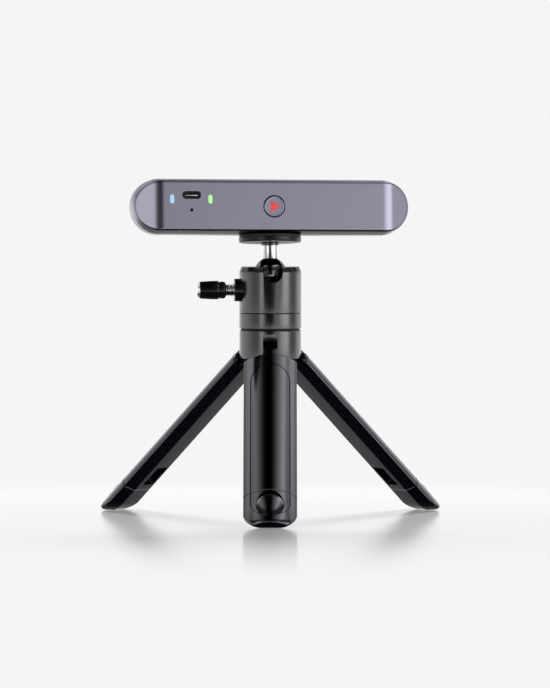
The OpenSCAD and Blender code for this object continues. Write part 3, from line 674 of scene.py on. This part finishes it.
def lock_screw():
    """Screw with a real helical thread on its visible length, then a plain shank with a cone point."""
    pitch, steps, crest, thread_depth = 1.9, 48, 4.2, 0.62
    thread_start, thread_end = -32.0, -24.2
    rows = int((thread_end - thread_start) / pitch * 12)
    bm = bmesh.new()
    rings = []
    for j in range(rows + 1):
        climb = (thread_end - thread_start) * j / rows
        line = []
        for k in range(steps):
            a = 2 * pi * k / steps
            phase = (climb / pitch - k / steps) % 1.0
            r = crest - thread_depth * (0.5 - 0.5 * cos(2 * pi * phase)) ** 0.8
            line.append(bm.verts.new((r * cos(a), r * sin(a), thread_start + climb)))
        rings.append(line)
    for r, z in [(crest, thread_end), (crest, -14.1), (1.6, -11.7)]:
        rings.append([bm.verts.new((r * cos(2 * pi * k / steps), r * sin(2 * pi * k / steps), z))
                      for k in range(steps)])
    join_rings(bm, rings)
    bm.faces.new(rings[0])
    bm.faces.new(rings[-1])
    finish_mesh(bm, "lock_screw_fine", KNOB, "knob", "steel", ("lock_screw",), 50)


# ---------------------------------------------------------------- tripod
def hub():
    """Round block that carries the legs, with a slot for each knuckle and a bore for the bolt."""
    low, high = 105.8, 126
    profile = rounded([(0, low), (HUB_R, low), (HUB_R, high), (0, high)], [0, 1.6, 1.0, 0], 6)
    slot_half, slot_in, slot_top = 4.85, 10.8, 119.6
    cutters = []
    for turn in LEGS.values():
        slot = extruded([(slot_in, -slot_half), (30, -slot_half), (30, slot_half), (slot_in, slot_half)],
                        100, slot_top, "XY")
        slot.transform(Matrix.Rotation(radians(turn), 4, "Z"))
        cutters.append(slot)
    cutters.append(lathe([(0, 104), (5.4, 104), (5.4, 110.3), (3.15, 110.3), (3.15, 128), (0, 128)], 64))
    finish_mesh(modified(lathe(profile, 192), cutters, bevel=0.2, segments=2, angle=38), "leg_base_fine",
                BASE, "base", "head_black", ("leg_base",), 32)


# The latch and its well sit on the leg's back; both are a little longer down the leg than across it.
LATCH_S, LATCH_STRETCH = 134, 1.19
LATCH_PLACE = (Matrix.Translation((0, 0, -LATCH_S)) @ Matrix.Rotation(pi / 2, 4, "Y")
               @ Matrix.Diagonal((LATCH_STRETCH, 1, 1, 1)))
BACK_U, BACK_R, INNER_U, LEG_GAP = 20.4, 24.0, 6.3, 0.31


def leg_outline(inset=0.0, corner=2.6, inner=0.9):
    """Cross-section (u, w) of a leg: curved back, two flat sides, flat inner face, soft corners."""
    u0 = INNER_U + inset
    gap = 2 * (LEG_GAP + inset)
    w0 = u0 * tan(pi / 3) - gap
    c = BACK_U - BACK_R
    r = BACK_R - inset
    u = 11.0
    for _ in range(30):
        w = u * tan(pi / 3) - gap
        u = c + sqrt(max(0.0, r * r - w * w)) * 0.5 + (u - c) * 0.5
    w1 = u * tan(pi / 3) - gap
    edge = asin(w1 / r)
    bend = corner / r
    n = 28
    arc = [(c + r * cos(a), r * sin(a)) for a in
           [-edge + bend + (2 * edge - 2 * bend) * k / n for k in range(n + 1)]]

    def soft(a, p, b):
        return [tuple(point) for point in curve(Vector(a), Vector(p), Vector(b), 6)]

    side = Vector((u - u0, w1 - w0)).normalized()
    out = soft((u0, -w0 + inner), (u0, -w0), (u0 + side.x * inner, -w0 - side.y * inner))
    out += soft((u - side.x * corner, -w1 + side.y * corner), (u, -w1), arc[0])
    out += arc[1:-1]
    out += soft(arc[-1], (u, w1), (u - side.x * corner, w1 - side.y * corner))
    out += soft((u0 + side.x * inner, w0 + side.y * inner), (u0, w0), (u0, w0 - inner))
    return out


def back_line():
    """Cutter for the thin sunk line around the leg's back."""
    half, line_w, sunk, clear = 13.4, 0.65, 0.6, 0.8
    s0, s1 = 8.1, 144.5
    middle = ((s0 + s1) / 2, 0)
    outer = [(-s, w) for s, w in pill(s1 - s0, 2 * half, 32, middle)]
    inner = [(-s, w) for s, w in pill(s1 - s0 - 2 * line_w, 2 * half - 2 * line_w, 32, middle)]
    bm = bmesh.new()
    c = BACK_U - BACK_R

    def depth_u(w, drop):
        return c + sqrt((BACK_R - drop) ** 2 - w * w)
    loops = []
    for pts, drop in ((outer, -clear), (outer, sunk), (inner, sunk), (inner, -clear)):
        loops.append([bm.verts.new((depth_u(w, drop), w, z)) for z, w in pts])
    join_rings(bm, loops, True)
    return bm


def leg_tube():
    """Upper leg's outside, with a small chamfer at both ends and rings that keep the long faces even."""
    bm = bmesh.new()
    rings = []
    levels = [(0.35, 0), (0.1, 0.1), (0, 0.35), (0, 0.8)]
    levels += [(0, 2 * k) for k in range(1, 13)]
    levels += [(0, s) for s in (30, 45, 60, 75, 90, 100, 110, SEAM_S - 0.7, SEAM_S - 0.25)]
    levels.append((0.25, SEAM_S))
    for inset, s in levels:
        rings.append([bm.verts.new((u, w, -s)) for u, w in leg_outline(inset)])
    join_rings(bm, rings)
    bm.faces.new(rings[0])
    bm.faces.new(rings[-1])
    return bm


def knuckle():
    """The tongue in the hub's slot, bored for the hinge pin."""
    half, reach = 4.2, LEG_DROP + 4.2
    tongue = rounded([(HINGE_R - half, -3), (HINGE_R + half, -3), (HINGE_R + half, reach),
                      (HINGE_R - half, reach)], [0, 0, 4.1, 4.1], 10, True)
    pin = lathe([(0, -9), (1.56, -9), (1.56, 9), (0, 9)], 32)
    pin.transform(Matrix.Translation((HINGE_R, 0, LEG_DROP)) @ Matrix.Rotation(pi / 2, 4, "X"))
    return modified(modified(extruded(tongue, -4.5, 4.5, "XZ"), bevel=0.3, segments=2, angle=40), [pin])


def leg_shell():
    """Upper leg: the tube, hollow for its slider, with the inner face's pocket and the back's line."""
    hollow = extruded(leg_outline(2.2, 1.2, 0.5), -SEAM_S - 1, -8, "XY")
    low, high, half = -117.5, -100.5, 8
    mouth = rounded([(high, -half), (low, -half), (low, half), (high, half)], 1.2, 5, True)
    pocket = extruded(mouth, 0, 10, "ZY")
    return modified(leg_tube(), [hollow, pocket, back_line()])


def foot():
    """Lower leg's end, with the latch's well and a socket for the slider."""
    well_r, well_u = 9.45, 12.5
    well = lathe([(0, well_u), (well_r, well_u), (well_r, 30), (0, 30)], 96)
    well.transform(LATCH_PLACE)
    socket = extruded(leg_outline(2.5, 1.2, 0.5), -SEAM_S - 6.2, -SEAM_S + 3, "XY")
    return modified(foot_body(), [well, socket, back_line()])


def latch():
    """Domed button, round before it is stretched down the leg."""
    r, rise, top, back = 9.15, 3.0, 21.5, 14.0
    dome_r = (r * r + rise * rise) / (2 * rise)
    reach = asin((r - 0.35) / dome_r)
    dome = [(0, top)]
    dome += [(dome_r * sin(a), top - dome_r * (1 - cos(a))) for a in [reach * k / 16 for k in range(1, 17)]]
    edge = dome[-1][1]
    dome += [(r - 0.1, edge - 0.15), (r, edge - 0.5), (r, back), (0, back)]
    button = lathe(dome, 96)
    button.transform(LATCH_PLACE)
    return button


def legs():
    """Each leg's shell and knuckle, foot and latch button."""
    black = "tripod_black"
    for name in LEGS:
        place = leg_place(name)
        leg_node, foot_node, latch_node = name + "_leg", name + "_foot", name + "_latch"
        finish_mesh(leg_shell(), leg_node + "_fine", place, leg_node, black, (leg_node,), 30)
        finish_mesh(knuckle(), name + "_knuckle", place, leg_node, black, (), 30)
        finish_mesh(foot(), foot_node + "_fine", place, foot_node, black, (foot_node,), 30)
        finish_mesh(latch(), latch_node + "_fine", place, latch_node, black, (latch_node,), 35)


def sole_height(x, y):
    """Height of the foot's underside over the floor: flat, rounded nose, and rising inwards and sideways."""
    nose_x, flat_x, nose_r, rise = 124.4, 120.5, 5.0, radians(19)
    ahead = x - nose_x
    steep = nose_r * sin(pi / 4)
    if x < flat_x:
        profile = (flat_x - x) * tan(rise)
    elif ahead < 0:
        profile = 0.0
    elif ahead < steep:
        profile = nose_r - sqrt(nose_r ** 2 - ahead ** 2)
    else:
        profile = nose_r * (1 - cos(pi / 4)) + ahead - steep
    side_r, side_drop = 34, 0.7
    return max(profile, side_r - side_drop - sqrt(side_r ** 2 - y ** 2), 0.0)


FLOOR_FROM_LEG = (Matrix.Translation((HINGE_R, 0, HINGE_Z)) @ Matrix.Rotation(-SPLAY, 4, "Y")
                  @ Matrix.Translation((-HINGE_R, 0, -LEG_DROP)))


def sole_length(u, w):
    """How far down the leg its line at (u, w) meets the underside."""
    low, high = 90.0, 175.0
    for _ in range(40):
        s = (low + high) / 2
        p = FLOOR_FROM_LEG @ Vector((u, w, -s))
        if p.z > sole_height(p.x, p.y):
            low = s
        else:
            high = s
    return low


def foot_body():
    """Foot as a skin: from the seam down each side, round a soft edge, and over the sole to its middle."""
    soft, chamfer = 4.6, 0.3
    middle = Vector((13.4, 0.0))
    top = SEAM_S + 0.25
    bm = bmesh.new()
    centre = bm.verts.new((middle.x, middle.y, -sole_length(middle.x, middle.y)))
    columns = []
    for (u, w), (iu, iw) in zip(leg_outline(), leg_outline(chamfer)):
        edge = Vector((u, w))
        ahead = edge + (middle - edge) * min(0.8, soft / (middle - edge).length)
        side_end = sole_length(u, w)
        above = Vector((u, w, -side_end + soft))
        corner = Vector((u, w, -side_end))
        inside = Vector((ahead.x, ahead.y, -sole_length(ahead.x, ahead.y)))
        line = [(iu, iw, -top), (u, w, -top - chamfer), (u, w, -top - 2 * chamfer),
                (above + Vector((u, w, -top))) * 0.5]
        line += curve(above, corner, inside, 10)
        for k in range(1, 8):
            p = ahead + (middle - ahead) * k / 8
            line.append((p.x, p.y, -sole_length(p.x, p.y)))
        columns.append([bm.verts.new(p) for p in line])
    join_columns(bm, columns)
    for a, b in zip(columns, columns[1:] + columns[:1]):
        bm.faces.new((a[-1], b[-1], centre))
    bm.faces.new([line[0] for line in columns])
    return bm


for build in (rear_shell, front_frame, power_button, status_lights, usb_socket, top_plate, ball_and_stem,
              stem_collar, head_housing, pan_ring, knob_pieces, lock_screw, hub, legs):
    build()

# ---------------------------------------------------------------- camera
DISTANCE, ELEVATION = 4.06, radians(2.15)
AIM = Vector((0.0032, 0, 0.1163))
SENSOR_MM, PICTURE_HEIGHT, LENS_PX = 36, 688, 6000.0
camera_data = bpy.data.cameras.new("camera")
camera_data.sensor_fit = "VERTICAL"
camera_data.sensor_height = SENSOR_MM
camera_data.lens = SENSOR_MM * LENS_PX / PICTURE_HEIGHT
camera_data.clip_end = 50
camera = bpy.data.objects.new("camera", camera_data)
camera.location = AIM + Vector((0, -DISTANCE * cos(ELEVATION), DISTANCE * sin(ELEVATION)))
camera.rotation_euler = (pi / 2 - ELEVATION, 0, 0)
bpy.context.scene.collection.objects.link(camera)
bpy.context.scene.camera = camera


# ---------------------------------------------------------------- stage
def emitter(name, strength):
    """A white surface that glows."""
    m = bpy.data.materials.new(name)
    m.use_nodes = True
    m.node_tree.nodes.clear()
    out = m.node_tree.nodes.new("ShaderNodeOutputMaterial")
    glow = m.node_tree.nodes.new("ShaderNodeEmission")
    glow.inputs["Strength"].default_value = strength
    glow.inputs["Color"].default_value = (1, 1, 1, 1)
    m.node_tree.links.new(glow.outputs[0], out.inputs["Surface"])
    return m


def stage_mesh(name, verts, faces, mat):
    me = bpy.data.meshes.new(name)
    me.from_pydata(verts, [], faces)
    me.materials.append(mat)
    o = bpy.data.objects.new(name, me)
    bpy.context.scene.collection.objects.link(o)
    return o


FLOOR_R, DOME_R, BACKDROP_R = 2.6, 1.7, 7.0
WHITE = 0.913                      # how bright the backdrop and the far floor are
MATT_FLOOR, FLOOR_GLOW = (0.42, 0.42, 0.43), 0.56
SHADOW_FADE = (0.17, 0.42)         # from here to here the floor turns into plain white
SHEEN, SHEEN_ROUGH, SHEEN_IOR = 0.76, 0.16, 1.14
SHEEN_FADE = (0.1, 0.6)            # from here to here the faint mirror image of the legs dies away


def fade_node(nodes, span, start, end):
    """A soft step from start to end over the span."""
    fade = nodes.new("ShaderNodeMapRange")
    fade.interpolation_type = "SMOOTHSTEP"
    for label, value in zip(("From Min", "From Max", "To Min", "To Max"), (*span, start, end)):
        fade.inputs[label].default_value = value
    return fade


def floor_material():
    """Matt floor near the object and plain white away from it, with a faint sheen at grazing angles."""
    m = material("floor", MATT_FLOOR, 0, 0.3)
    nodes, links = m.node_tree.nodes, m.node_tree.links
    matt = nodes["Principled BSDF"]
    matt.inputs["Emission Color"].default_value = (1, 1, 1, 1)
    matt.inputs["Emission Strength"].default_value = FLOOR_GLOW
    matt.inputs["Specular IOR Level"].default_value = 0
    even = nodes.new("ShaderNodeEmission")
    even.inputs["Strength"].default_value = WHITE
    sheen = nodes.new("ShaderNodeBsdfGlossy")
    sheen.inputs["Color"].default_value = (SHEEN, SHEEN, SHEEN, 1)
    sheen.inputs["Roughness"].default_value = SHEEN_ROUGH
    grazing = nodes.new("ShaderNodeFresnel")
    grazing.inputs["IOR"].default_value = SHEEN_IOR

    coords = nodes.new("ShaderNodeTexCoord")
    reach = nodes.new("ShaderNodeVectorMath")
    reach.operation = "LENGTH"
    links.new(coords.outputs["Object"], reach.inputs[0])
    to_white = fade_node(nodes, SHADOW_FADE, 0, 1)
    near = fade_node(nodes, SHEEN_FADE, 1, 0)
    share = nodes.new("ShaderNodeMath")
    share.operation = "MULTIPLY"
    links.new(reach.outputs["Value"], to_white.inputs["Value"])
    links.new(reach.outputs["Value"], near.inputs["Value"])
    links.new(grazing.outputs["Fac"], share.inputs[0])
    links.new(near.outputs["Result"], share.inputs[1])

    base = nodes.new("ShaderNodeMixShader")
    links.new(to_white.outputs["Result"], base.inputs["Fac"])
    links.new(matt.outputs["BSDF"], base.inputs[1])
    links.new(even.outputs["Emission"], base.inputs[2])
    polished = nodes.new("ShaderNodeMixShader")
    links.new(share.outputs["Value"], polished.inputs["Fac"])
    links.new(base.outputs["Shader"], polished.inputs[1])
    links.new(sheen.outputs["BSDF"], polished.inputs[2])
    links.new(polished.outputs["Shader"], nodes["Material Output"].inputs["Surface"])
    return m


def floor_disc():
    """The round floor, which the object's own reflections leave out."""
    rim = [(FLOOR_R * cos(a), FLOOR_R * sin(a), 0) for a in [2 * pi * k / 96 for k in range(96)]]
    floor = stage_mesh("floor", rim, [tuple(range(96))], floor_material())
    floor.visible_glossy = False


# Bearing from the camera's side (degrees, + is right) and how bright the dome is there, near the horizon.
HORIZON = [(-180, 1.3), (-150, 1.4), (-130, 1.2), (-100, 1.2), (-80, 0.9), (-60, 0.5), (-44, 0.6), (-31, 2.5),
           (-23, 1.0), (-13, 0.05), (11, 0.03), (17, 1.0), (32, 1.15), (42, 2.4), (60, 3.2), (68, 2.8),
           (75, 1.3), (84, 0.55), (94, 0.5), (108, 0.8), (118, 1.5), (165, 1.3), (180, 1.3)]
# The same overhead, by how far to the side a spot is for its height.
OVERHEAD = [(-9, 1.3), (-0.75, 1.6), (-0.48, 0.62), (-0.30, 0.06), (-0.2, 0.0), (0.08, 0.0), (0.18, 0.25),
            (0.345, 0.95), (0.575, 2.4), (0.79, 1.2), (1.06, 2.2), (9, 1.4)]


def between(pairs, at):
    """Straight-line value of a short list of (position, value)."""
    for (a, low), (b, high) in zip(pairs, pairs[1:]):
        if a <= at <= b:
            return low + (high - low) * (at - a) / (b - a)
    return pairs[-1][1]


def dome_level(azimuth, elevation):
    """Light and dark areas all round: a dark gap in front and overhead, soft boxes at the sides."""
    behind = between([(0, 0), (98, 0), (112, 1), (180, 1)], abs(azimuth))
    near = between(HORIZON, azimuth)
    if elevation < -8:
        below = behind * between([(-90, 0), (-56, 0.04), (-44, 0.14), (-22, 0.26), (-8, 0.5)], elevation)
        return below if elevation <= -20 else below + (near - below) * (elevation + 20) / 12
    near *= 1 - behind * between([(-8, 0), (6, 0), (20, 0.6), (90, 0.6)], elevation)
    lateral = cos(radians(elevation)) * sin(radians(azimuth)) / max(sin(radians(elevation)), 0.05)
    over = between(OVERHEAD, max(-9, min(9, lateral)))
    mix = between([(0, 0), (26, 0), (44, 1), (90, 1)], elevation)
    dark = between([(0, 0), (22, 0), (30, 0.92), (45, 0.92), (57, 0), (90, 0)], elevation)
    return (near * (1 - mix) + over * mix) * (1 - dark * (1 - behind))


def dome_mesh(name, radius, mat):
    """A ball of quads round the object, and the bearing and height of each of its corners."""
    bearings = [-180 + 3 * k for k in range(121)]
    heights = [4 * k for k in range(-22, 23)]
    spots = [(a, e) for a in bearings for e in heights]
    verts = [(radius * sin(radians(a)) * cos(radians(e)), -radius * cos(radians(a)) * cos(radians(e)),
              radius * sin(radians(e))) for a, e in spots]
    n = len(heights)
    faces = [(i * n + j, i * n + j + 1, (i + 1) * n + j + 1, (i + 1) * n + j)
             for i in range(len(bearings) - 1) for j in range(n - 1)]
    return stage_mesh(name, verts, faces, mat), spots


def dome_light():
    """The dome that the object mirrors; each of its corners carries its own brightness."""
    mat = emitter("dome", 1.0)
    glow = mat.node_tree.nodes["Emission"]
    level = mat.node_tree.nodes.new("ShaderNodeAttribute")
    level.attribute_name = "level"
    mat.node_tree.links.new(level.outputs["Fac"], glow.inputs["Strength"])
    o, spots = dome_mesh("dome", DOME_R, mat)
    values = o.data.attributes.new("level", "FLOAT", "POINT")
    for k, (a, e) in enumerate(spots):
        values.data[k].value = dome_level(a, e)
    o.visible_camera = False
    o.visible_shadow = False
    o.visible_diffuse = False


def backdrop():
    """An even white ball far outside the camera, so the background is the same from every side."""
    o, _ = dome_mesh("backdrop", BACKDROP_R, emitter("backdrop", WHITE))
    o.visible_glossy = False
    o.visible_shadow = False
    o.visible_diffuse = False
    o.visible_transmission = False


def back_light():
    """Soft light from above and behind, which draws the shadows on the floor."""
    lamp = bpy.data.objects.new("back_light", bpy.data.lights.new("back_light", "AREA"))
    lamp.data.energy = 57
    lamp.data.size = 0.6
    lamp.location = (0.1, 1.5, 1.5)
    lamp.rotation_euler = (radians(-45), 0, 0)
    lamp.visible_glossy = False
    lamp.visible_camera = False
    bpy.context.scene.collection.objects.link(lamp)


def dark_world():
    world = bpy.data.worlds.new("world")
    bpy.context.scene.world = world
    world.use_nodes = True
    world.node_tree.nodes["Background"].inputs["Color"].default_value = (1, 1, 1, 1)
    world.node_tree.nodes["Background"].inputs["Strength"].default_value = 0.0


floor_disc()
dome_light()
backdrop()
back_light()
dark_world()
bpy.context.scene.view_settings.view_transform = "Standard"
